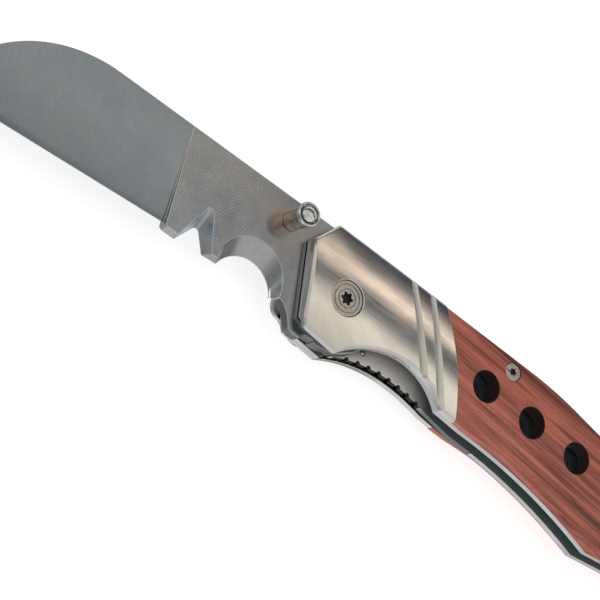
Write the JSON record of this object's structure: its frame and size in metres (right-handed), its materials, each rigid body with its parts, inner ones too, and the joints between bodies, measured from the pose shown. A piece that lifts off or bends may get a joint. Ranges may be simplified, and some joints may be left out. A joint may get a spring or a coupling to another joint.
{
  "type": "grafting knife",
  "caption": "Folding grafting knife, open, with a hooked and notched sheepsfoot blade, steel bolsters, drilled red wood sides, a leaf lock and a pocket clip.",
  "frame": {"origin": "centre of the open knife's bounding box, on the plane of the clip's flat arm, which is the lowest face when the knife lies clip side down", "axes": "+X along the knife from the blade's tip to the handle's butt, +Y across it towards the blade's unsharpened back, +Z out of the front side, away from the clip"},
  "size_m": [0.1958, 0.0284, 0.0178],
  "materials": {
    "blade_steel": "ground, slightly cloudy",
    "satin_steel": "satin, brushed lengthwise",
    "liner_steel": "stamped, matt",
    "spacer_steel": "dark, matt",
    "polished_steel": "polished",
    "screw_steel": "turned",
    "washer_brass": "smooth",
    "red_wood": "oiled, straight grain"
  },
  "bodies": {
    "handle": {"pivot_barrel": "screw_steel", "pivot_screw": "screw_steel", "front_washer": "washer_brass", "back_washer": "washer_brass", "front_liner": "liner_steel", "back_liner": "liner_steel", "back_spacer": "spacer_steel", "front_bolster": "satin_steel", "front_scale": "red_wood", "back_bolster": "satin_steel", "back_scale": "red_wood", "stop_pin": "polished_steel", "front_bolster_rivets": "satin_steel", "front_scale_screws": "screw_steel", "back_bolster_rivets": "satin_steel", "back_scale_screws": "screw_steel", "pocket_clip": "polished_steel", "clip_screws": "polished_steel"},
    "blade": {"blade": "blade_steel", "thumb_stud": "polished_steel", "stud_cap": "polished_steel", "stud_screw": "screw_steel"},
    "lock": {"lock_bar": "liner_steel", "detent_ball": "polished_steel"}
  },
  "joints": [
    {"name": "blade_pivot", "type": "hinge", "parent": "handle", "child": "blade", "pos_m": [-0.0037, 0.00028, 0.0088], "axis": [0, 0, 1], "range_deg": [0, 173]},
    {"name": "lock_swing", "type": "hinge", "parent": "handle", "child": "lock", "pos_m": [0.0413, 0.00028, 0.0063], "axis": [0, -1, 0], "range_deg": [0, 1.15]}
  ],
  "couplings": [
    {"joint": "lock_swing", "follows": "blade_pivot", "ratio": 0.006608}
  ]
}
